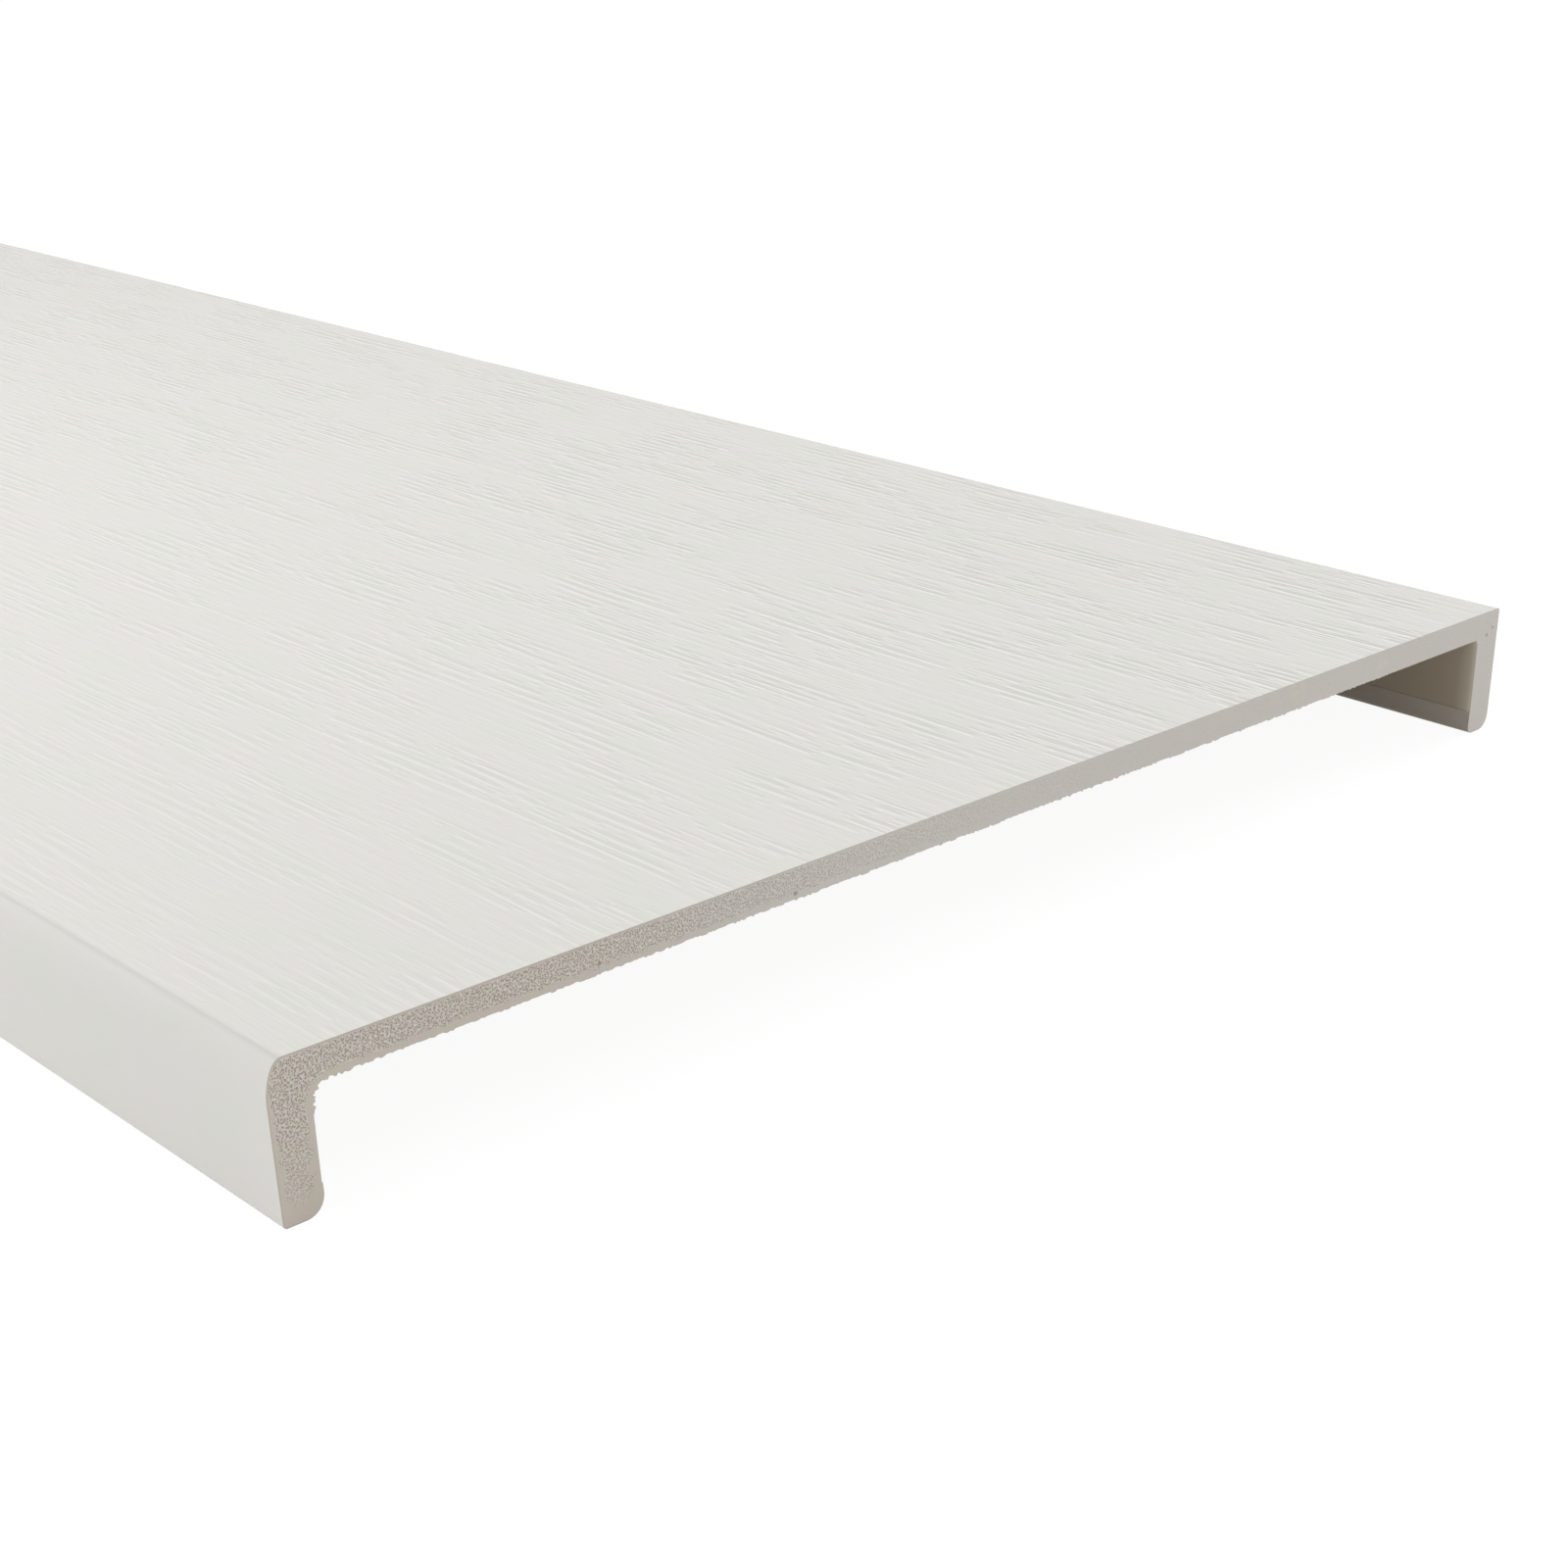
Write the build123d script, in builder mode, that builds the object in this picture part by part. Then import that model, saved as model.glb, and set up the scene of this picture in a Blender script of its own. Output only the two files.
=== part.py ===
from build123d import *
import os
from math import atan, cos, degrees, radians, sin, tan

# A double-ended fascia board in rigid foamed PVC: a wide flat panel with a leg turned down along each edge.
# It is one extrusion, sawn square at both ends, and it lies on the feet of its legs.
# X runs across the width, Y along the length and Z up. The origin is the middle of the bottom.

# Overall sizes, in millimetres
length = 1250.0
width = 404.0  # from the widest of the shoulder to the square corner, before its edge is eased
height = 35.0  # from the feet to the top of the panel

# Walls
panel_thickness = 7.4
leg_thickness = 9.4

# The rounded leg is on the -X side. Its shoulder is part of an ellipse, tight at the top and slack below.
shoulder_width = 3.6
shoulder_depth = 8.0
rounded_leg_lean = 3.3  # degrees that the leg turns in towards its foot
rounded_leg_toe_radius = 1.0
rounded_leg_heel_radius = 4.0
rounded_leg_inside_radius = 4.0

# The square leg is on the +X side, and meets the panel in a sharp corner.
square_corner_radius = 0.8
square_leg_lean = 1.7  # degrees that the leg turns in towards its foot
square_leg_toe_radius = 4.0
square_leg_heel_radius = 2.0
square_leg_inside_radius = 1.5

# Where the section's faces lie. A leaning leg is wider than its wall when it is measured level.
half_width = width / 2
panel_underside = height - panel_thickness
rounded_slope = tan(radians(rounded_leg_lean))
square_slope = tan(radians(square_leg_lean))
rounded_leg_width = leg_thickness / cos(radians(rounded_leg_lean))
square_leg_width = leg_thickness / cos(radians(square_leg_lean))

# The shoulder turns past upright until it lines up with the leaning face below it.
shoulder_centre = (shoulder_width - half_width, height - shoulder_depth)
past_upright = atan(rounded_slope * shoulder_depth / shoulder_width)
shoulder_end = (
    shoulder_centre[0] - shoulder_width * cos(past_upright),
    shoulder_centre[1] - shoulder_depth * sin(past_upright),
)


def rounded_face(z):
    """X of the rounded leg's outer face at a height below its shoulder."""
    return shoulder_end[0] + (shoulder_end[1] - z) * rounded_slope


def square_face(z):
    """X of the square leg's outer face at a height."""
    return half_width - (height - z) * square_slope


# Corners of the section, each with the radius that the die gives it
rounded_toe = (rounded_face(0), 0)
rounded_heel = (rounded_face(0) + rounded_leg_width, 0)
rounded_inside = (rounded_face(panel_underside) + rounded_leg_width, panel_underside)
square_inside = (square_face(panel_underside) - square_leg_width, panel_underside)
square_heel = (square_face(0) - square_leg_width, 0)
square_toe = (square_face(0), 0)
square_corner = (half_width, height)
rounded_corners = (
    (rounded_toe, rounded_leg_toe_radius),
    (rounded_heel, rounded_leg_heel_radius),
    (rounded_inside, rounded_leg_inside_radius),
    (square_inside, square_leg_inside_radius),
    (square_heel, square_leg_heel_radius),
    (square_toe, square_leg_toe_radius),
    (square_corner, square_corner_radius),
)

with BuildPart() as fascia_board:
    with BuildSketch(Plane.XZ) as section:
        with BuildLine():
            shoulder = EllipticalCenterArc(
                center=shoulder_centre,
                x_radius=shoulder_width,
                y_radius=shoulder_depth,
                start_angle=90,
                arc_size=90 + degrees(past_upright),
            )
            Polyline(
                shoulder @ 1,
                rounded_toe,
                rounded_heel,
                rounded_inside,
                square_inside,
                square_heel,
                square_toe,
                square_corner,
                shoulder @ 0,
            )
        make_face()
        for corner, radius in rounded_corners:
            fillet(section.vertices().sort_by_distance(corner)[0], radius)
    extrude(amount=length / 2, both=True)

fascia_board.part.label = "fascia_board"
os.makedirs("parts", exist_ok=True)
export_step(fascia_board.part, "parts/fascia_board.step")
print("volume in cubic metres:", round(fascia_board.part.volume / 1e9, 6))
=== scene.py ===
# %% [markdown]
# # A fascia board with two legs
# The board closes the edge of a roof. It is one extrusion of rigid foamed PVC: a wide flat panel with a leg
# turned down along each long edge. Its face and legs wear an embossed woodgrain skin, and its ends are
# plain saw cuts. This notebook models the board with real relief in its face and a real burr along its
# cuts, inside the box of the plain solid that the frame holds, and gives it the finishes that such a board
# shows in daylight.

# %% Load the frame
from math import atan, cos, pi, radians, sin, tan

import bmesh
import bpy
from mathutils import Matrix, Vector


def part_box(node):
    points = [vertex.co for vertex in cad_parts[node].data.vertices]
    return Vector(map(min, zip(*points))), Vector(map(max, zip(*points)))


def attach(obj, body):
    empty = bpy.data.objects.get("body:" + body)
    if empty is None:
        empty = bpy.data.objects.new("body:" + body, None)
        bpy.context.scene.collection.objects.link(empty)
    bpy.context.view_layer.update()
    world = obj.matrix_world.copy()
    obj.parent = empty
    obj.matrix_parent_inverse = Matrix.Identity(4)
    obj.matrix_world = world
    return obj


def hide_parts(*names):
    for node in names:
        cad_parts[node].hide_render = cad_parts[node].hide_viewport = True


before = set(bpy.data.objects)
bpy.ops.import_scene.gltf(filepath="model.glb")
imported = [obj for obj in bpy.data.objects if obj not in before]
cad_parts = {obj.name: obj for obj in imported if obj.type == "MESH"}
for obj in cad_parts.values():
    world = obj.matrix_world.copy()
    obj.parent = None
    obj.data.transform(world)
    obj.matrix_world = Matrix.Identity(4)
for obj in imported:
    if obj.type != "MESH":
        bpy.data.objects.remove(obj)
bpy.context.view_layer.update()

# %% [markdown]
# ## The section's sizes
# Every size of the section is a size of the extrusion die, in metres. The overall box comes from the frame,
# so the modelled board can't outgrow the solid. The rest is what the die gives: the walls, the lean of the
# legs and the radius of each corner. A table of points would hide these sizes, so only the sizes are
# written down.

# %% Name the section's sizes
MM = 0.001
low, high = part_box("fascia_board")
left, right = low[0], high[0]
front, rear = low[1], high[1]
height = high[2]
panel_thickness = 7.4 * MM
leg_thickness = 9.4 * MM
underside = height - panel_thickness

shoulder_width, shoulder_depth = 3.6 * MM, 8.0 * MM
rounded_leg_lean = radians(3.3)
rounded_leg_radii = (1.0 * MM, 4.0 * MM, 4.0 * MM)  # of its toe, its heel and its inside corner

square_corner_radius = 0.8 * MM
square_leg_lean = radians(1.7)
square_leg_radii = (4.0 * MM, 2.0 * MM, 1.5 * MM)

rounded_slope, square_slope = tan(rounded_leg_lean), tan(square_leg_lean)
print("length, width and height in metres:", rear - front, right - left, height)

# %% [markdown]
# ## Walking round the section
# The section is straight runs joined by arcs. It could be drawn as a curve and extruded, but then the face
# would get no points of its own for the grain. So the face starts as a fine grid, and its two long edges
# are extruded step by step round the legs. These helpers work out the points of that walk.

# %% Find the points of an arc and of a straight run
def arc_points(before, corner, after, radius, steps):
    """Points of the arc that rounds a corner, from the run before it to the run that goes on."""
    corner = Vector(corner)
    back = (Vector(before) - corner).normalized()
    on = (Vector(after) - corner).normalized()
    half_angle = back.angle(on) / 2
    centre = corner + (back + on).normalized() * radius / sin(half_angle)
    start = corner + back * radius / tan(half_angle) - centre
    turn = pi - 2 * half_angle
    if back.cross(on) < 0:
        turn = -turn
    return [centre + Matrix.Rotation(-turn * i / steps, 2) @ start for i in range(steps + 1)]


def straight_points(start, end, steps):
    """Points between two ends of a straight run, without the ends."""
    return [Vector(start).lerp(Vector(end), i / steps) for i in range(1, steps)]


# %% [markdown]
# ## The two walks
# A leg is walked the same way on both sides: down its outer face, round its toe and heel, up its inner face
# and round the inside corner. Only the top of each differs. The rounded leg has a shoulder that is part of
# an ellipse, and the square leg meets the face in a sharp corner. The skin wraps each foot and ends a
# little way up the inner face. The walk gives its edge a small step there, as the edge of a film has.

# %% Walk round one leg
skin_return = 6.5 * MM  # how far up the inner face the skin reaches
skin_step = 0.15 * MM
toe_steps, heel_steps, inside_steps = 5, 8, 8
outer_steps, inner_steps = 14, 4


def leg_walk(start, anchor, slope, side, radii):
    """Points from the top of a leg to the underside.

    anchor is a point of the outer face. side is -1 at the left edge of the face and 1 at the right one.
    """
    wall = leg_thickness / cos(atan(slope))

    def outer(z):
        return anchor[0] - side * (anchor[1] - z) * slope

    def inner(z, set_back=0.0):
        return outer(z) - side * (wall - set_back)

    toe, heel, inside = (outer(0), 0), (inner(0), 0), (inner(underside), underside)
    toe_arc = arc_points(anchor, toe, heel, radii[0], toe_steps)
    heel_arc = arc_points(toe, heel, inside, radii[1], heel_steps)
    inside_arc = arc_points(heel, inside, (0, underside), radii[2], inside_steps)
    skin_edge = [Vector((inner(skin_return, back), skin_return)) for back in (0, skin_step)]
    return [
        *start,
        *straight_points(start[-1], toe_arc[0], outer_steps),
        *toe_arc,
        *heel_arc,
        *skin_edge,
        *straight_points(skin_edge[-1], inside_arc[0], inner_steps),
        *inside_arc,
    ]


# %% Work out both walks
shoulder_steps, square_corner_steps = 18, 5

shoulder_centre = (left + shoulder_width, height - shoulder_depth)
shoulder_turn = pi / 2 + atan(rounded_slope * shoulder_depth / shoulder_width)
shoulder = [
    Vector((
        shoulder_centre[0] - shoulder_width * sin(shoulder_turn * i / shoulder_steps),
        shoulder_centre[1] + shoulder_depth * cos(shoulder_turn * i / shoulder_steps),
    ))
    for i in range(shoulder_steps + 1)
]
corner = (right, height)
below_corner = (right - height * square_slope, 0)
square_corner = arc_points((0, height), corner, below_corner, square_corner_radius, square_corner_steps)

rounded_walk = leg_walk(shoulder, shoulder[-1], rounded_slope, -1, rounded_leg_radii)
square_walk = leg_walk(square_corner, corner, square_slope, 1, square_leg_radii)
print("points round the rounded leg and the square leg:", len(rounded_walk), len(square_walk))

# %% [markdown]
# ## Modelling the board
# Relief needs points only where it changes, and grain changes fast across the board and slowly along it. So
# the face is a grid of long narrow cells, about 0.65 mm by 11 mm. Each long edge of it is extruded along
# its walk, and the two loose edges are bridged into the underside. The result is one closed mesh, as the
# real board is one piece.

# %% Add the face
FACE_COLUMNS, FACE_ROWS = 620, 110

face_left, face_right = rounded_walk[0].x, square_walk[0].x
bpy.ops.object.select_all(action="DESELECT")
bpy.ops.mesh.primitive_grid_add(
    x_subdivisions=FACE_COLUMNS,
    y_subdivisions=FACE_ROWS,
    size=1,
    location=((face_left + face_right) / 2, (front + rear) / 2, height),
)
board = bpy.context.object
board.name = board.data.name = "woodgrain_board"
board.scale = (face_right - face_left, rear - front, 1)
bpy.ops.object.transform_apply(location=True, rotation=True, scale=True)
print("cells in the face:", len(board.data.polygons))

# %% Select edges and faces by their place
TINY = 1e-6  # metres within which two places count as one
X, Y, Z = 0, 1, 2  # numbers of the axes


def select(kind, test):
    """Selects the edges or faces of the mesh in edit mode for which test is true, and nothing else."""
    bpy.ops.mesh.select_all(action="DESELECT")
    bpy.ops.mesh.select_mode(type=kind)
    mesh = bmesh.from_edit_mesh(bpy.context.object.data)
    for item in mesh.edges if kind == "EDGE" else mesh.faces:
        if test(item):
            item.select_set(True)
    bmesh.update_edit_mesh(bpy.context.object.data)


def lies_at(edge, axis, value):
    """Whether both ends of an edge lie at a value of an axis."""
    return all(abs(v.co[axis] - value) < TINY for v in edge.verts)


def is_on_cut(edge):
    """Whether an edge lies in one of the two sawn ends."""
    return lies_at(edge, Y, front) or lies_at(edge, Y, rear)


# %% Pull both legs down from the face and bridge the underside
UNDERSIDE_COLUMNS = 48

bpy.ops.object.mode_set(mode="EDIT")
for walk in (rounded_walk, square_walk):
    select("EDGE", lambda edge: lies_at(edge, X, walk[0].x))
    for here, there in zip(walk, walk[1:]):
        step = there - here
        bpy.ops.mesh.extrude_edges_move(TRANSFORM_OT_translate={"value": (step.x, 0, step.y)})

select("EDGE", lambda edge: edge.is_boundary and lies_at(edge, Z, underside) and not is_on_cut(edge))
bpy.ops.mesh.bridge_edge_loops(number_cuts=UNDERSIDE_COLUMNS)
print("faces round the whole section:", len(bmesh.from_edit_mesh(board.data).faces))

# %% [markdown]
# ## The sawn ends
# A saw leaves a ragged burr where its teeth leave the plastic, which here is along the arris that faces the
# channel. The burr needs close points on that arris, and a row of points as close just behind it to stand
# on. A bisect near each end adds the row, and arris and row are divided alike, so that each point of the
# arris gets its own quads. One wide face behind the arris would fold into triangles that lie in the plane
# of the cut and show through it. The edges are long under the panel and short in the corners, so one
# subdivide cuts the long ones and a second halves those that are still too long. The open ends are then
# filled, each with one flat face.

# %% Ready the arrises for their burr
burr_root = 0.8 * MM  # how far behind the cut the burr begins
CUTS = {1.5 * MM: 10, 0.5 * MM: 1}  # edges longer than a length get that many cuts

for cut_place in (front + burr_root, rear - burr_root):
    bpy.ops.mesh.select_all(action="SELECT")
    bpy.ops.mesh.bisect(plane_co=(0, cut_place, 0), plane_no=(0, 1, 0))


def borders_channel(edge):
    """Whether an edge of a cut, or of the row behind it, borders the channel above the skin's edge."""
    in_row = any(lies_at(edge, Y, row) for row in (front, front + burr_root, rear - burr_root, rear))
    in_channel = all(v.co.z < underside + TINY and v.co.z > skin_return for v in edge.verts)
    clear_of_faces = all(left + leg_thickness < v.co.x < right - leg_thickness for v in edge.verts)
    return in_row and in_channel and clear_of_faces


for shortest, cuts in CUTS.items():
    select("EDGE", lambda edge: borders_channel(edge) and edge.calc_length() > shortest)
    bpy.ops.mesh.subdivide(number_cuts=cuts)
print("faces with the arrises ready:", len(bmesh.from_edit_mesh(board.data).faces))

# %% Close the ends
for end in (front, rear):
    select("EDGE", lambda edge: edge.is_boundary and lies_at(edge, Y, end))
    bpy.ops.mesh.edge_face_add()
bpy.ops.mesh.select_all(action="SELECT")
bpy.ops.mesh.normals_make_consistent(inside=False)
open_edges = sum(edge.is_boundary for edge in bmesh.from_edit_mesh(board.data).edges)
bpy.ops.object.mode_set(mode="OBJECT")
print("faces:", len(board.data.polygons), "open edges:", open_edges)


# %% [markdown]
# ## Writing node maths as Python
# The grain is one recipe of numbers, and both the mesh and the finish use it: Geometry Nodes presses the
# grooves into the mesh, and the shader adds what is finer than the mesh. A node tree wired by hand would be
# long to read, so a small class wraps a socket and lets Python's own arithmetic add the Math nodes.

# %% Wrap a socket
class Wire:
    """A socket of a node tree. Arithmetic on it adds Math nodes."""

    def __init__(self, recipe, socket):
        self.recipe, self.socket = recipe, socket

    def maths(self, operation, *values):
        """Adds a Math node that works on these values."""
        return self.recipe.node("ShaderNodeMath", {"operation": operation}, dict(enumerate(values)))

    def __add__(self, other):
        return self.maths("ADD", self, other)

    def __sub__(self, other):
        return self.maths("SUBTRACT", self, other)

    def __rsub__(self, other):
        return self.maths("SUBTRACT", other, self)

    def __mul__(self, other):
        return self.maths("MULTIPLY", self, other)

    def __truediv__(self, other):
        return self.maths("DIVIDE", self, other)

    def __pow__(self, other):
        return self.maths("POWER", self, other)

    def __abs__(self):
        return self.maths("ABSOLUTE", self)

    # With the reflected forms a plain number can stand first, as in 1 - mask.
    __radd__, __rmul__ = __add__, __mul__

    def sign(self):
        return self.maths("SIGN", self)

    def whole(self):
        return self.maths("FLOOR", self)

    def least(self, other):
        return self.maths("MINIMUM", self, other)

    def most(self, other):
        return self.maths("MAXIMUM", self, other)

    def ramp(self, start, end):
        """0 up to start and 1 from end on, with a smooth rise between them."""
        settings = {"interpolation_type": "SMOOTHSTEP"}
        sockets = {"Value": self, "From Min": start, "From Max": end}
        return self.recipe.node("ShaderNodeMapRange", settings, sockets)

    def lifted(self, lowest):
        """The same mask, but from lowest to 1 in place of from 0 to 1."""
        return self * (1 - lowest) + lowest


# %% Wrap a node tree
class Recipe:
    """A node tree, to which node() adds a node of any type."""

    def __init__(self, tree):
        self.tree = tree

    def node(self, kind, settings=None, sockets=None, output=0):
        """Adds a node, makes its settings and then gives each named socket a link or a value."""
        made = self.tree.nodes.new(kind)
        for name, value in (settings or {}).items():
            setattr(made, name, value)
        for name, value in (sockets or {}).items():
            if isinstance(value, Wire):
                self.tree.links.new(value.socket, made.inputs[name])
            else:
                made.inputs[name].default_value = value
        if len(made.outputs) == 0:
            return made
        return Wire(self, made.outputs[output])

    def axes(self, place):
        """The three numbers of a place, in millimetres."""
        split = self.node("ShaderNodeSeparateXYZ", sockets={0: place}).socket.node
        return [Wire(self, socket) / MM for socket in split.outputs]

    def vector(self, x=0.0, y=0.0, z=0.0):
        return self.node("ShaderNodeCombineXYZ", sockets={0: x, 1: y, 2: z})

    def noise(self, x, y, seed, detail=0.0):
        """Soft noise from 0 to 1, whose lumps are about one unit of x and y across.

        Each seed gives a pattern of its own, and a third axis can take the seed's place.
        """
        sockets = {"Vector": self.vector(x, y, seed), "Scale": 1.0, "Detail": detail}
        return self.node("ShaderNodeTexNoise", sockets=sockets)

    def mix(self, factor, first, second):
        """A colour between two colours."""
        return self.node("ShaderNodeMix", {"data_type": "RGBA"}, {0: factor, 6: first, 7: second}, output=2)


# %% [markdown]
# ## The woodgrain
# The embossing roller presses grooves into the skin, 2 to 3 mm wide and one to a few centimetres long. They
# lie along the board in loose groups with plain skin between them, and fade towards the rounded edge. A
# groove is uneven: its side by the rounded leg is steep and catches a thin bright line, and its other side
# is slack and softly shaded. Stretched noise would give grooves with two equal sides. So the width is split
# into lanes, each lane has the profile of one groove, and a noise along the lane lets its grooves come and
# go. A slower noise groups them, and two more let them wander. Across the board the recipe measures along
# the skin, over the edge and down the leg, so that the grain isn't smeared on the legs.

# %% Let the grain follow the skin and wander
WANDER = 3.0  # millimetres from the furthest left to the furthest right that one noise moves a groove

height_mm, left_mm, right_mm = height / MM, left / MM, right / MM


def along_skin(x, z):
    """How far round the section a point of the skin lies from the middle of the face."""
    return x + x.sign() * (height_mm - z)


def wander(recipe, across, y):
    """How far the grain strays sideways, in millimetres."""
    slow = recipe.noise(across / 45, y / 160, seed=3.0) - 0.5
    quick = recipe.noise(across / 11, y / 70, seed=5.0) - 0.5
    return slow * WANDER + quick * WANDER


# %% Write the grain as one recipe
LONG_GROOVES = {"pitch": 3.4, "long": 17, "seed": 7.0}  # pitch and length in millimetres
SHORT_GROOVES = {"pitch": 1.9, "long": 10, "seed": 17.0}
SHORT_DEPTH = 0.6  # of a long groove's depth
STEEP_SIDE, SLACK_SIDE = (0.05, 0.29), (0.29, 0.95)  # shares of a lane's width
LANE_JUMP = 7.31  # how far apart neighbouring lanes read the noise, so that they aren't alike
GROOVE_BEGINS, GROOVE_IS_DEEP = 0.48, 0.55  # values of the noise along a lane
GROUP_BEGINS, GROUP_IS_FULL = 0.36, 0.60
BETWEEN_GROUPS, AT_ROUNDED_EDGE = 0.25, 0.15  # shares of the depth that are left there
FULL_FROM = 160  # where across the board the grain has its full depth, in millimetres


def strokes(recipe, across, y, pitch, long, seed):
    """Grooves from 0 to 1 side by side at a pitch, each about as long as said."""
    lane = (across / pitch).whole()
    place = across / pitch - lane
    groove = place.ramp(*STEEP_SIDE) * (1 - place.ramp(*SLACK_SIDE))
    return recipe.noise(lane * LANE_JUMP, y / long, seed=seed).ramp(GROOVE_BEGINS, GROOVE_IS_DEEP) * groove


def grain(recipe, across, y):
    """Depth of the grain, from 0 in the plain skin to about 1 in a groove."""
    across = across + wander(recipe, across, y)
    groups = recipe.noise(across / 16, y / 60, seed=11.0).ramp(GROUP_BEGINS, GROUP_IS_FULL)
    long_ones = strokes(recipe, across, y, **LONG_GROOVES)
    short_ones = strokes(recipe, across, y, **SHORT_GROOVES) * SHORT_DEPTH
    towards_rounded_edge = across.ramp(left_mm - 30, FULL_FROM).lifted(AT_ROUNDED_EDGE)
    return long_ones.most(short_ones) * groups.lifted(BETWEEN_GROUPS) * towards_rounded_edge


# %% [markdown]
# ## Relief in the mesh
# Grain could be sculpted by hand, but not evenly over a metre of board. A Geometry Nodes modifier moves
# every point by the recipe instead, and is then applied, so the finished mesh holds the shape. It also
# shifts the columns of points sideways with the wander of the grain. Each groove then lies along a column,
# where a groove that crossed the columns at a slant would turn into a row of beads. The plain skin stays at
# full height, so the board keeps its size.

# %% Make a modifier from a recipe
def applied_modifier(name, build):
    """Adds a Geometry Nodes modifier to the board that moves its points by an offset, and applies it."""
    tree = bpy.data.node_groups.new(name, "GeometryNodeTree")
    for direction in ("INPUT", "OUTPUT"):
        tree.interface.new_socket("Board", in_out=direction, socket_type="NodeSocketGeometry")
    recipe = Recipe(tree)
    sockets = {"Geometry": recipe.node("NodeGroupInput"), "Offset": build(recipe)}
    recipe.node("NodeGroupOutput", sockets={0: recipe.node("GeometryNodeSetPosition", sockets=sockets)})
    modifier = board.modifiers.new(name, "NODES")
    modifier.node_group = tree
    bpy.ops.object.select_all(action="DESELECT")
    board.select_set(True)
    bpy.context.view_layer.objects.active = board
    bpy.ops.object.modifier_apply(modifier=modifier.name)


# %% Press the grain
grain_depth = 0.215 * MM
MESH_SHARE = 0.4  # of the grain's depth, because the grid is too coarse for its sharpest part
FADE = 8  # millimetres from each long edge of the face over which its points start to move
ROUNDS = 3


def relief_offset(recipe):
    """Moves the face's points sideways with the grain and down into its grooves.

    How far a point moves depends on the wander where it lands, so a few rounds settle it.
    """
    x, y, z = recipe.axes(recipe.node("GeometryNodeInputPosition"))
    on_face = z.ramp(height_mm - 1.0, height_mm)
    from_fold = x.ramp(face_left / MM, face_left / MM + FADE)
    from_corner = 1 - x.ramp(face_right / MM - FADE, face_right / MM)
    sideways = 0.0
    for _ in range(ROUNDS):
        sideways = wander(recipe, x + sideways, y) * -1
    sideways = sideways * on_face * from_fold * from_corner
    groove = grain(recipe, along_skin(x + sideways, z), y) * on_face * from_fold
    return recipe.vector(x=sideways * MM, z=groove * (grain_depth * MESH_SHARE * -1))


applied_modifier("woodgrain relief", relief_offset)
levels = [v.co.z for v in board.data.vertices if face_left < v.co.x < face_right]
heights = [level for level in levels if level > height - 0.5 * MM]
relief = (max(heights) - min(heights)) / MM
print("the face's relief in mm:", round(relief, 3), "over", len(heights), "points")

# %% [markdown]
# ## Depth in the wall
# Both the burr and the look of the cut depend on how far a point lies from the faces of the wall. A texture
# painted on the cut would have to be fitted to it by hand. So the distances are worked out from the same
# sizes as the walk: each face of a leg or of the panel gives a straight distance, the inside corners round
# it off, and the shoulder adds that of its ellipse.

# %% Measure how far a point lies from the channel
# A leaning wall is wider when it is measured level.
rounded_wall = leg_thickness / cos(atan(rounded_slope)) / MM
square_wall = leg_thickness / cos(atan(square_slope)) / MM
rounded_inside_radius, square_inside_radius = rounded_leg_radii[2] / MM, square_leg_radii[2] / MM
underside_mm = underside / MM


def from_channel(x, z):
    """How far a point of the section lies from the channel between the legs, in millimetres."""
    lean_left = (shoulder_centre[1] / MM - z) * rounded_slope
    lean_right = (height_mm - z) * square_slope
    in_rounded_leg = lean_left + (left_mm + rounded_wall) - x
    in_square_leg = x - (right_mm - square_wall) + lean_right
    in_panel = z - underside_mm
    reach = 0.0
    for in_leg, radius in ((in_rounded_leg, rounded_inside_radius), (in_square_leg, square_inside_radius)):
        beside, above = (in_leg + radius).most(0.0), (in_panel + radius).most(0.0)
        reach = ((beside ** 2 + above ** 2) ** 0.5 - radius).most(reach)
    return reach


# %% Measure how far a point lies below the outer faces
OUT_OF_REACH = 50  # millimetres, more than any wall, for points away from the shoulder and the top
LEAST_SLOPE = 0.01  # keeps a division away from zero


def from_outside(x, z):
    """How far a point of the section lies below the outer faces, in millimetres."""
    over_shoulder = (z - shoulder_centre[1] / MM).most(0.0)
    into_shoulder = (shoulder_centre[0] / MM - x).most(0.0)
    wide, deep = shoulder_width / MM, shoulder_depth / MM
    reach = ((into_shoulder / wide) ** 2 + (over_shoulder / deep) ** 2) ** 0.5
    slope = ((into_shoulder / wide ** 2) ** 2 + (over_shoulder / deep ** 2) ** 2) ** 0.5
    from_shoulder = (1 - reach) * reach / slope.most(LEAST_SLOPE)
    clear_of_shoulder = reach.ramp(0.0, 0.05) * -OUT_OF_REACH + OUT_OF_REACH
    from_rounded_face = x - left_mm - (shoulder_centre[1] / MM - z).most(0.0) * rounded_slope
    from_square_face = right_mm - (height_mm - z) * square_slope - x
    return (from_shoulder + clear_of_shoulder).least(from_rounded_face).least(from_square_face).least(z)


# %% [markdown]
# ## The burr
# Where the saw left the channel side of the wall, crumbs of plastic hang from the arris. They lie thick in
# the corner of the rounded leg, thinner under the panel, and hardly at all near the square leg. Loose
# crumbs would be many small pieces that the real board doesn't have. So the points that the subdivide added
# lean out into the channel by a noise, each along its own normal, and stay part of the board.

# %% Raise the burr
burr_height = 1.0 * MM
ON_LEG, UNDER_PANEL, IN_CORNER = 0.25, 0.25, 1.6  # shares of the burr's height, which add up
LUMP, PATCH = 0.9, 6  # sizes of the crumbs and of their patches, in millimetres
BETWEEN_PATCHES = 0.4  # share of the burr that is left between its thicker patches
THINS_FROM, GONE_FROM = 120, 175  # where across the board the burr ends, in millimetres
SMOOTH_UP_TO = radians(30)  # an edge that turns further stays sharp

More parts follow.
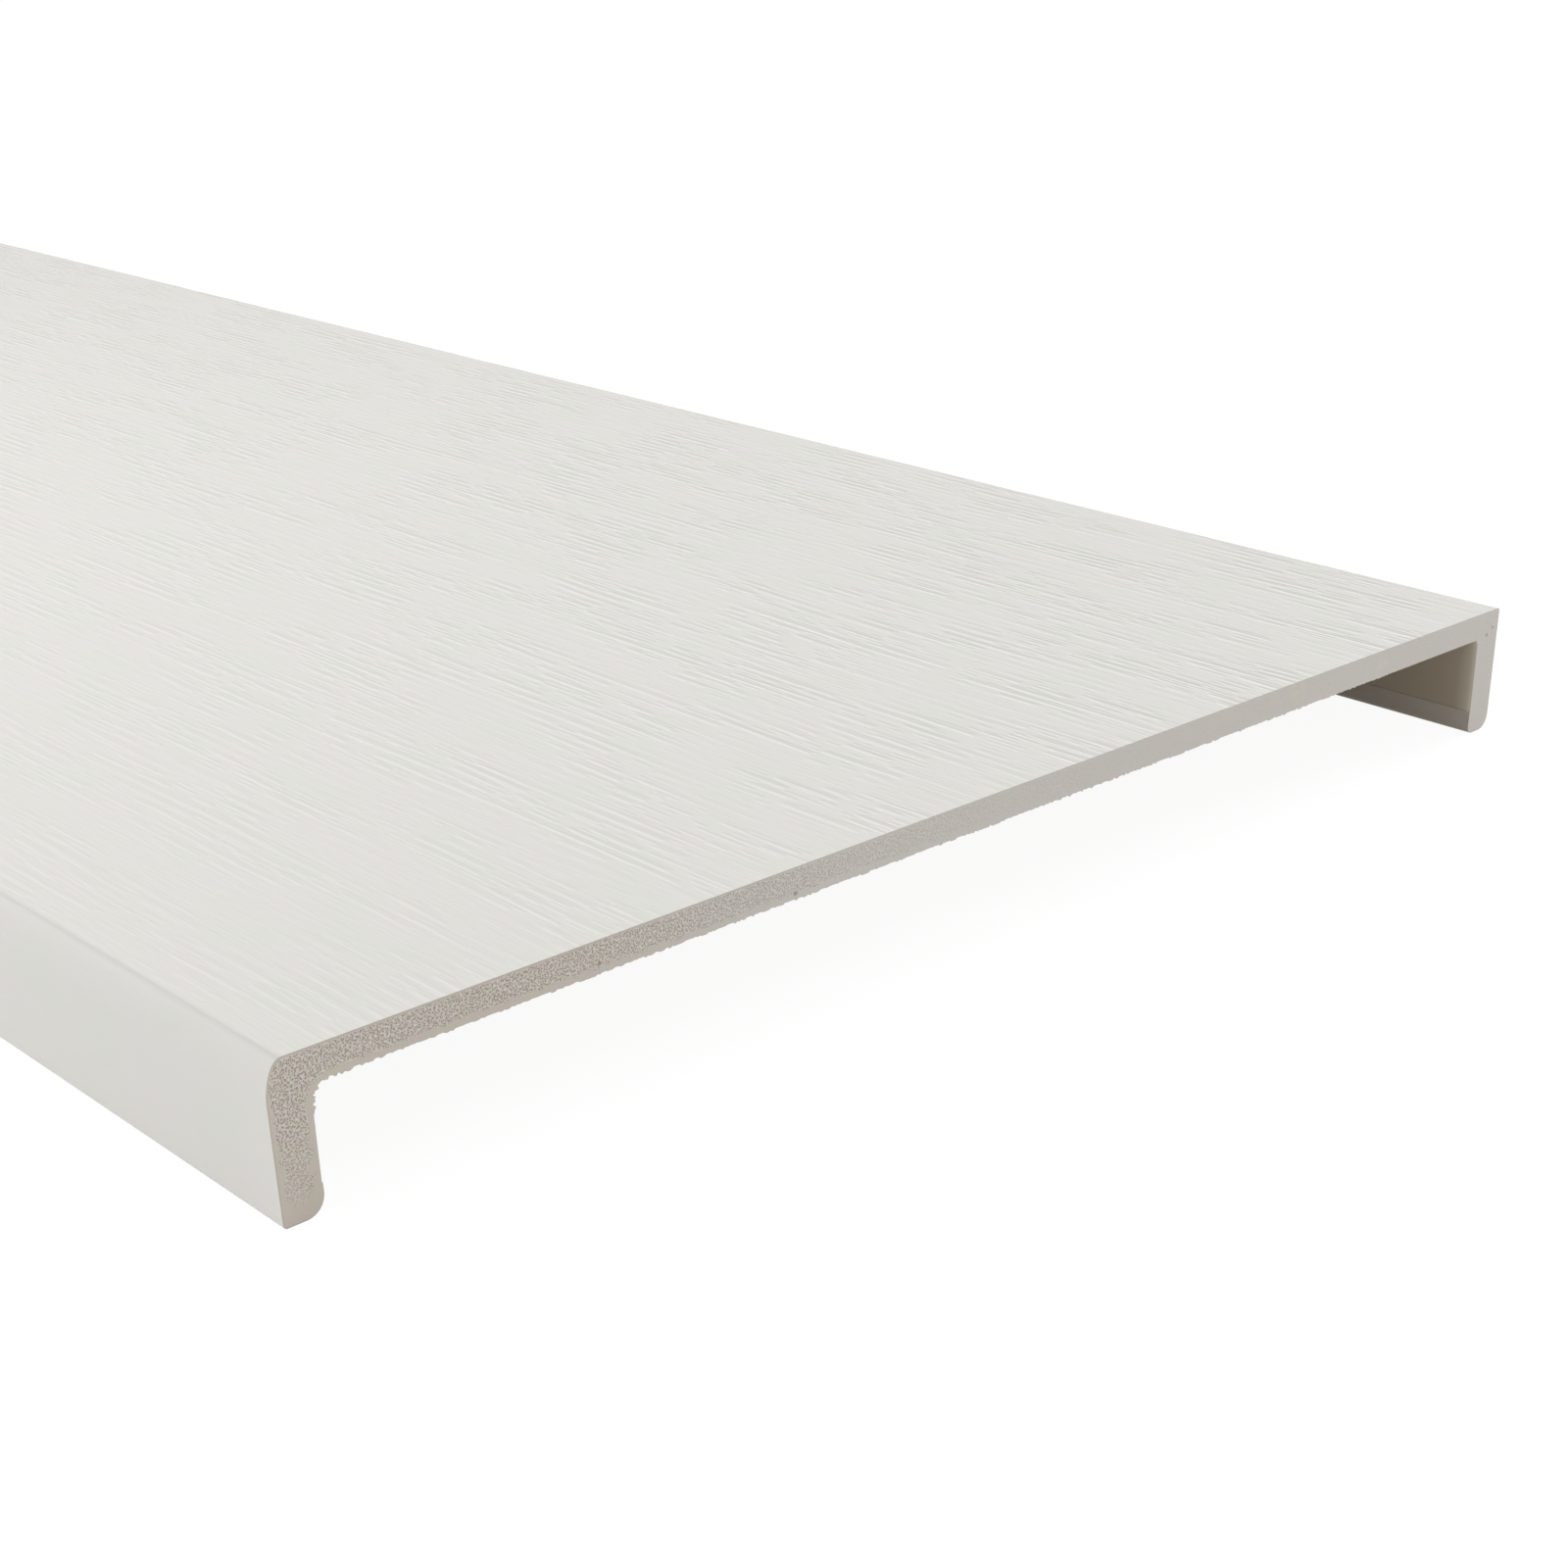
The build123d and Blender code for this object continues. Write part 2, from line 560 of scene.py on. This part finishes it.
half_length_mm = (rear - front) / 2 / MM


def burr_offset(recipe):
    """Moves the points of the arrises out into the channel."""
    x, y, z = recipe.axes(recipe.node("GeometryNodeInputPosition"))
    on_cut = abs(y).ramp(half_length_mm - 0.02, half_length_mm - 0.01)
    on_arris = 1 - from_channel(x, z).ramp(0.02, 0.1)
    lumps = recipe.noise(x / LUMP, z / LUMP, seed=2.0).ramp(0.38, 0.62)
    patches = recipe.noise(x / PATCH, z / PATCH, seed=9.0).ramp(0.35, 0.60)
    in_corner = (1 - x.ramp(left_mm + 15, left_mm + 20)) * z.ramp(underside_mm - 7, underside_mm - 4)
    under_panel = z.ramp(underside_mm - 1.0, underside_mm)
    away_from_square_leg = 1 - x.ramp(THINS_FROM, GONE_FROM)
    strength = (under_panel * UNDER_PANEL + in_corner * IN_CORNER + ON_LEG) * away_from_square_leg
    burr = (lumps * patches.lifted(BETWEEN_PATCHES) * strength) * on_cut * on_arris * burr_height
    facing = [burr * part * MM for part in recipe.axes(recipe.node("GeometryNodeInputNormal"))]
    return recipe.vector(x=facing[0], z=facing[2])


before = [v.co.copy() for v in board.data.vertices]
applied_modifier("saw burr", burr_offset)
moves = [(v.co - old).length / MM for v, old in zip(board.data.vertices, before)]
print("burr: points moved", sum(m > 0.01 for m in moves), "longest in mm", round(max(moves), 2))
bpy.ops.object.shade_smooth_by_angle(angle=SMOOTH_UP_TO)


# %% [markdown]
# ## Starting a finish
# Skin, foam and plain plastic are three finishes of one material, and each is a Principled shader with a
# few patterns before it. They could be image textures, but those have a fixed sharpness and would need the
# board unwrapped. The patterns read Object coordinates instead, so they lie on the board in millimetres, as
# its sizes do.

# %% Write the helpers that each finish uses
OBJECT_COORDINATES = 3  # number of the Texture Coordinate node's output


def object_axes(recipe):
    """The place on the board, as three numbers in millimetres."""
    return recipe.axes(recipe.node("ShaderNodeTexCoord", output=OBJECT_COORDINATES))


def new_finish(name):
    """An empty material, as a recipe with the shader that it ends in."""
    material = bpy.data.materials.new(name)
    material.use_nodes = True
    material.node_tree.nodes.clear()
    recipe = Recipe(material.node_tree)
    shader = material.node_tree.nodes.new("ShaderNodeBsdfPrincipled")
    recipe.node("ShaderNodeOutputMaterial", sockets={0: Wire(recipe, shader.outputs[0])})
    return material, recipe, shader


def feed(recipe, shader, **sockets):
    """Links wires to the shader's sockets, or sets plain values on them."""
    for name, value in sockets.items():
        socket = shader.inputs[name.replace("_", " ")]
        if isinstance(value, Wire):
            recipe.tree.links.new(value.socket, socket)
        else:
            socket.default_value = value


def bump(recipe, relief, depth):
    """A normal that shows a relief, in which a step of 1 is so many metres deep."""
    return recipe.node("ShaderNodeBump", sockets={"Height": relief, "Distance": depth, "Strength": 1.0})


# %% [markdown]
# ## The skin's finish
# The skin is off-white and satin. Up close it is a little uneven: faintly greener and pinker patches, and
# fibres finer than a groove. The bump comes from the grain's own recipe, so that the grooves of the mesh
# and of the finish lie on each other. Where the skin wraps into the channel, its colour is painted darker,
# as the shade that fills the channel.

# %% Finish the skin
GREENER_SKIN, PINKER_SKIN = (0.752, 0.748, 0.708, 1), (0.765, 0.745, 0.712, 1)
SKIN_IN_CHANNEL_SHADE = (0.43, 0.385, 0.335, 1)
LEGS_LACK = 0.8  # share of the grain that the legs lack
FIBRE_DEPTH = 0.16  # share of a groove's depth
SMOOTHEST, ROUGHER_BY = 0.50, 0.10  # the roughness of the satin, and how much it varies

skin, recipe, shader = new_finish("woodgrain_skin")
x, y, z = object_axes(recipe)
across = along_skin(x, z)
on_legs = (height_mm - z).ramp(2, 9)
grooves = grain(recipe, across, y) * (1 - on_legs * LEGS_LACK)
fibres = recipe.noise(across / 0.8, y / 10, seed=5.0) * FIBRE_DEPTH
patches = recipe.noise(across / 14, y / 22, seed=31.0).ramp(0.35, 0.65)
colour = recipe.mix(patches, GREENER_SKIN, PINKER_SKIN)
# Painted shade: inside the channel the skin's colour is darkened, as the shade there.
in_channel = 1 - from_channel(x, z).ramp(0.3, 2.5)
colour = recipe.mix(in_channel, colour, SKIN_IN_CHANNEL_SHADE)
satin = recipe.noise(across / 5, y / 30, seed=41.0) * ROUGHER_BY + SMOOTHEST
feed(recipe, shader, Base_Color=colour, Roughness=satin, Normal=bump(recipe, fibres - grooves, grain_depth))
print("nodes in the skin's finish:", len(recipe.tree.nodes))

# %% [markdown]
# ## The sawn ends' finish
# A saw cut shows what is inside the wall: foam. Near the rounded leg it is full of pores about 0.4 mm wide,
# and towards the square leg it gets dense, paler and smooth. Under every face lies a dense rim with few
# pores, and it gets wider towards the feet. The pores are a Voronoi pattern on the cut's own two axes,
# thinned by the depth in the wall and by the place along the cut. A faint fine mottle from the saw lies
# over all of it.

# %% Find where the foam is porous
DENSE_LACKS, FOOT_LACKS = 0.88, 0.35  # shares of the pores that the dense foam and the feet lack

foam, recipe, shader = new_finish("sawn_foam")
x, y, z = object_axes(recipe)
ragged = recipe.noise(x / 2.5, z / 2.5, seed=51.0)
in_leg = 1 - z.ramp(underside_mm - 3, underside_mm + 2)
towards_foot = 1 - z.ramp(6, 22)
outer_rim = ragged * (in_leg * 1.2 + towards_foot * 1.2 + 0.4)
inner_rim = ragged * (towards_foot * 2.4 + 2.0)
inside_skin = (from_outside(x, z) - outer_rim).ramp(0.0, 0.6)
inside_back = (from_channel(x, z) - inner_rim).ramp(0.0, 0.9)
above_foot = z.ramp(2, 7) * (1 - towards_foot * FOOT_LACKS)
towards_dense = x.ramp(-140, 50)
porous = inside_skin * inside_back * above_foot * (1 - towards_dense * DENSE_LACKS)

# %% Shape the pores
PORE = 0.52  # spacing of the pores in millimetres

on_pores = {"Vector": recipe.vector(x / PORE, z / PORE), "Scale": 1.0}
cells = recipe.node("ShaderNodeTexVoronoi", {"voronoi_dimensions": "2D"}, on_pores)
torn = recipe.noise(x / 0.4, z / 0.4, seed=61.0, detail=1.0)
pits = (1 - cells.ramp(0.10, 0.48)) * torn.ramp(0.30, 0.58) * porous
grit = cells.ramp(0.35, 0.65) * torn.ramp(0.42, 0.62) * porous

# %% Colour the sawn foam
# The foam's two tones, each from a greener to a pinker end
POROUS_FOAM = (0.600, 0.557, 0.474, 1), (0.612, 0.548, 0.494, 1)
DENSE_FOAM = (0.630, 0.602, 0.554, 1), (0.642, 0.600, 0.566, 1)
SAW_MOTTLE, PIT_SHADE = (0.42, 0.38, 0.34, 1), (0.30, 0.25, 0.22, 1)
TORN_WALL, RIM_LINE = (0.88, 0.85, 0.80, 1), (0.42, 0.36, 0.28, 1)
MOTTLE_SHOWS, PITS_SHOW, WALLS_SHOW = 0.16, 0.95, 0.5  # how much of their colours shows at most
RIM_SHOWS, DENSE_RIM_LACKS = 0.45, 0.3

tone = recipe.noise(x / 3.0, z / 3.0, seed=71.0).ramp(0.35, 0.65)
colour = recipe.mix(x.ramp(-150, -50), recipe.mix(tone, *POROUS_FOAM), recipe.mix(tone, *DENSE_FOAM))
colour = recipe.mix(torn.ramp(0.40, 0.70) * MOTTLE_SHOWS, colour, SAW_MOTTLE)
colour = recipe.mix(pits * PITS_SHOW, colour, PIT_SHADE)
colour = recipe.mix(grit * WALLS_SHOW, colour, TORN_WALL)
rim_line = 1 - from_outside(x, z).ramp(0.1, 0.4)
colour = recipe.mix(rim_line * (RIM_SHOWS - towards_dense * DENSE_RIM_LACKS), colour, RIM_LINE)
print("nodes in the foam's finish so far:", len(recipe.tree.nodes))

# %% [markdown]
# ## Marks on the cut
# The front cut has a few marks of its own: four brown specks, where grit went through with the saw, and two
# pale yellow stains. Each is a soft round spot at its own place, so a short list holds them.

# %% Add the marks
SPECKS = ((-124.1, 29.8, 0.7), (-70.1, 28.9, 0.8), (196.5, 28.2, 0.7), (199.2, 29.9, 0.6))
STAINS = ((108.3, 32.4, 4.5), (145.5, 30.6, 4.0))  # across, up and radius, in millimetres
SPECK_BROWN, STAIN_YELLOW = (0.30, 0.20, 0.12, 1), (0.74, 0.66, 0.48, 1)
SPECKS_SHOW, STAINS_SHOW = 0.7, 0.5
PIT_DEPTH = 0.12 * MM


def spot(across, up, radius):
    """1 in the middle of a round mark on the front cut, and 0 from its radius on."""
    distance = ((x - across) ** 2 + (z - up) ** 2) ** 0.5
    return (1 - distance.ramp(radius * 0.3, radius)) * (1 - y.ramp(-1, 1))


for stain in STAINS:
    colour = recipe.mix(spot(*stain) * ragged.ramp(0.3, 0.7) * STAINS_SHOW, colour, STAIN_YELLOW)
for speck in SPECKS:
    colour = recipe.mix(spot(*speck) * SPECKS_SHOW, colour, SPECK_BROWN)
feed(recipe, shader, Base_Color=colour, Roughness=0.85, Normal=bump(recipe, 1 - pits, PIT_DEPTH))
print("specks and stains on the front cut:", len(SPECKS), len(STAINS))

# %% [markdown]
# ## The back's finish
# Inside the channel the extrusion has no skin. The raw plastic is smooth and shows faint lines from the die
# along its length. Its colour is painted olive and much darker than the skin, as the shade that fills the
# channel. In the last few millimetres before a cut it is painted paler, as the light that reaches in at the
# cut, and it is palest at the arris. All of this follows from a point's place, so noise and ramps on the
# board's own axes are enough.

# %% Finish the back
OLIVE_PAINTED_SHADE = (0.36, 0.305, 0.225, 1), (0.395, 0.335, 0.26, 1)
PAINTED_LIGHT_NEAR_CUT = (0.70, 0.65, 0.54, 1)
PALER_NEAR_CUT, PALER_AT_ARRIS = 0.5, 0.4  # shares of the pale plastic, which add up
DIE_LINE_DEPTH = 0.02 * MM

back, recipe, shader = new_finish("plain_back")
x, y, z = object_axes(recipe)
die_lines = recipe.noise((x + z) / 0.7, y / 120, seed=81.0)
clouds = recipe.noise(x / 20, y / 45, seed=z / 20).ramp(0.15, 0.85)
# Painted shade: the raw plastic is coloured dark olive, as the shade inside the channel.
colour = recipe.mix(clouds, *OLIVE_PAINTED_SHADE)
# Painted light: the last few millimetres before a cut are coloured paler, as the light that reaches in
# there, and the arris is palest.
painted_light_near_cut = abs(y).ramp(half_length_mm - 6, half_length_mm) * PALER_NEAR_CUT
palest_at_arris = abs(y).ramp(half_length_mm - 1.8, half_length_mm - 0.3) * PALER_AT_ARRIS
colour = recipe.mix(painted_light_near_cut + palest_at_arris, colour, PAINTED_LIGHT_NEAR_CUT)
feed(recipe, shader, Base_Color=colour, Roughness=0.5, Normal=bump(recipe, die_lines, DIE_LINE_DEPTH))
print("nodes in the back's finish:", len(recipe.tree.nodes))

# %% [markdown]
# ## Dressing the board
# The board is one piece with three finishes. They could be split off as three meshes, but the real board
# has no seams. So each face gets a finish by its normal or its place: foam on the two cuts, plain plastic
# in the channel above the skin's edge, and skin everywhere else. The dressed board then stands for the
# solid of the frame.

# %% Put each finish on its faces
LOOKS_ALONG = 0.9  # the least part of a cut's normal that points along the board


def is_sawn(face):
    """Whether a face looks along the board, as the two cuts do."""
    return abs(face.normal.y) > LOOKS_ALONG


def is_back(face):
    """Whether a face lies in the channel, above the edge of the skin."""
    middle = face.calc_center_median()
    inside_legs = abs(middle.x) < right - leg_thickness and middle.z < height - panel_thickness / 2
    return inside_legs and middle.z > skin_return and not is_sawn(face)


for material in (skin, foam, back):
    board.data.materials.append(material)
bpy.ops.object.mode_set(mode="EDIT")
for number, belongs in ((1, is_sawn), (2, is_back)):
    select("FACE", belongs)
    board.active_material_index = number
    bpy.ops.object.material_slot_assign()
bpy.ops.object.mode_set(mode="OBJECT")
for number, material in enumerate(board.data.materials):
    print(material.name, sum(face.material_index == number for face in board.data.polygons), "faces")

# %% Stand for the solid
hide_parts("fascia_board")
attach(board, "root")

# %% [markdown]
# ## The floor
# The board lies on a pale floor. A plain white one would either be grey in the picture or take so much
# light that the board burns out. So the camera sees it almost as plain white, with a trace of the board's
# shadow, while the board itself gets the light that such a floor throws back under its edges.

# %% Lay the floor
FLOOR_SIZE = 30  # metres
FLOOR_COLOUR, WHITE = (0.93, 0.93, 0.93, 1), (1, 1, 1, 1)
FLOOR_WHITE = 0.88  # how much of the floor's look is plain white, and the rest takes light and shadow
FLOOR_GLOW = 1.06  # strength of that white


def seen_directly(recipe):
    """1 for what the camera sees, also in a reflection or through glass, and 0 for light on the object."""
    path = recipe.node("ShaderNodeLightPath").socket.node
    rays = ("Is Camera Ray", "Is Glossy Ray", "Is Transmission Ray")
    camera_ray, glossy_ray, transmission_ray = (Wire(recipe, path.outputs[name]) for name in rays)
    return camera_ray.most(glossy_ray).most(transmission_ray)


bpy.ops.object.select_all(action="DESELECT")
bpy.ops.mesh.primitive_plane_add(size=FLOOR_SIZE, location=(0, 0, 0))
floor = bpy.context.object
floor.name = "floor"
ground, recipe, shader = new_finish("pale_floor")
feed(recipe, shader, Base_Color=FLOOR_COLOUR, Roughness=1.0)
white = recipe.node("ShaderNodeEmission", sockets={"Color": WHITE, "Strength": FLOOR_GLOW})
whiteness = seen_directly(recipe) * FLOOR_WHITE
sockets = {0: whiteness, 1: Wire(recipe, shader.outputs[0]), 2: white}
blend = recipe.node("ShaderNodeMixShader", sockets=sockets)
ending = next(n for n in recipe.tree.nodes if n.type == "OUTPUT_MATERIAL")
recipe.tree.links.new(blend.socket, ending.inputs[0])
floor.data.materials.append(ground)
print("width of the floor in metres:", round(floor.dimensions.x, 3))

# %% [markdown]
# ## The light
# Most of the light is soft and comes from all round, as under a cloudy sky, which gives the legs and the
# cuts their even tones. A lamp behind the camera would flatten the grain. So the key lamp stands low beside
# the square leg, where its light rakes across the grooves and stops at the fold of the rounded edge. A
# close lamp over the rounded side makes the face brighter towards that side. A weak low one fills the
# rounded leg, which the key can't reach.

# %% Set the daylight
DAYLIGHT = 0.66  # of white, for what lights the board, while the camera sees plain white

world = bpy.data.worlds.new("studio")
bpy.context.scene.world = world
world.use_nodes = True
sky = Recipe(world.node_tree)
background = world.node_tree.nodes["Background"]
background.inputs["Color"].default_value = WHITE
strength = seen_directly(sky).lifted(DAYLIGHT)
world.node_tree.links.new(strength.socket, background.inputs["Strength"])
print("nodes in the sky:", len(sky.tree.nodes))

# %% Hang the lamps
LAMP_SIZE = 0.35  # of its distance, which keeps all shadows equally soft
LIT_PLACE = Vector((0, -0.3, 0))  # what the lamps aim at, in metres


def add_lamp(name, towards_lamp, share, distance):
    """A soft square lamp. share is its part of full light on a surface that faces it."""
    towards_lamp = Vector(towards_lamp).normalized()
    lamp = bpy.data.lights.new(name, "AREA")
    lamp.shape = "SQUARE"
    lamp.size = distance * LAMP_SIZE
    lamp.energy = share * pi ** 2 * distance ** 2
    made = bpy.data.objects.new(name, lamp)
    bpy.context.collection.objects.link(made)
    made.location = LIT_PLACE + towards_lamp * distance
    made.rotation_euler = towards_lamp.to_track_quat("Z", "Y").to_euler()
    print(name, "lamp power in watts:", round(lamp.energy))


add_lamp("key", (0.97, -0.05, 0.21), 0.90, 12.0)
add_lamp("top", (-0.70, 0.35, 0.62), 0.24, 0.85)
add_lamp("fill", (-0.86, 0.42, 0.10), 0.075, 3.0)

# %% [markdown]
# ## The camera
# The camera stands low beside the sawn end and looks along the board, so that the section shows in front
# and the grain runs away from it. It could be pointed by eye, but then the edges would miss the photo's. So
# its place, heading and lens are numbers that make the board's edges fall where the photo has them.

# %% Set up the camera
CAMERA_PLACE = (-0.4200, -0.9907, 0.2474)  # metres
HEADING, LOOKS_DOWN = radians(43.46), radians(20.93)
FOCAL_LENGTH, SENSOR_WIDTH = 59.46, 36  # millimetres
SEES_FROM, SEES_TO = 0.01, 50  # metres

lens = bpy.data.cameras.new("camera")
lens.lens, lens.sensor_width = FOCAL_LENGTH, SENSOR_WIDTH
lens.clip_start, lens.clip_end = SEES_FROM, SEES_TO
camera = bpy.data.objects.new("camera", lens)
bpy.context.collection.objects.link(camera)
camera.location = CAMERA_PLACE
forward = Vector((sin(HEADING) * cos(LOOKS_DOWN), cos(HEADING) * cos(LOOKS_DOWN), -sin(LOOKS_DOWN)))
camera.rotation_euler = forward.to_track_quat("-Z", "Y").to_euler()
bpy.context.scene.camera = camera
bpy.context.scene.view_settings.view_transform = "Standard"
print("metres from the middle of the board to the camera:", round(camera.location.length, 3))
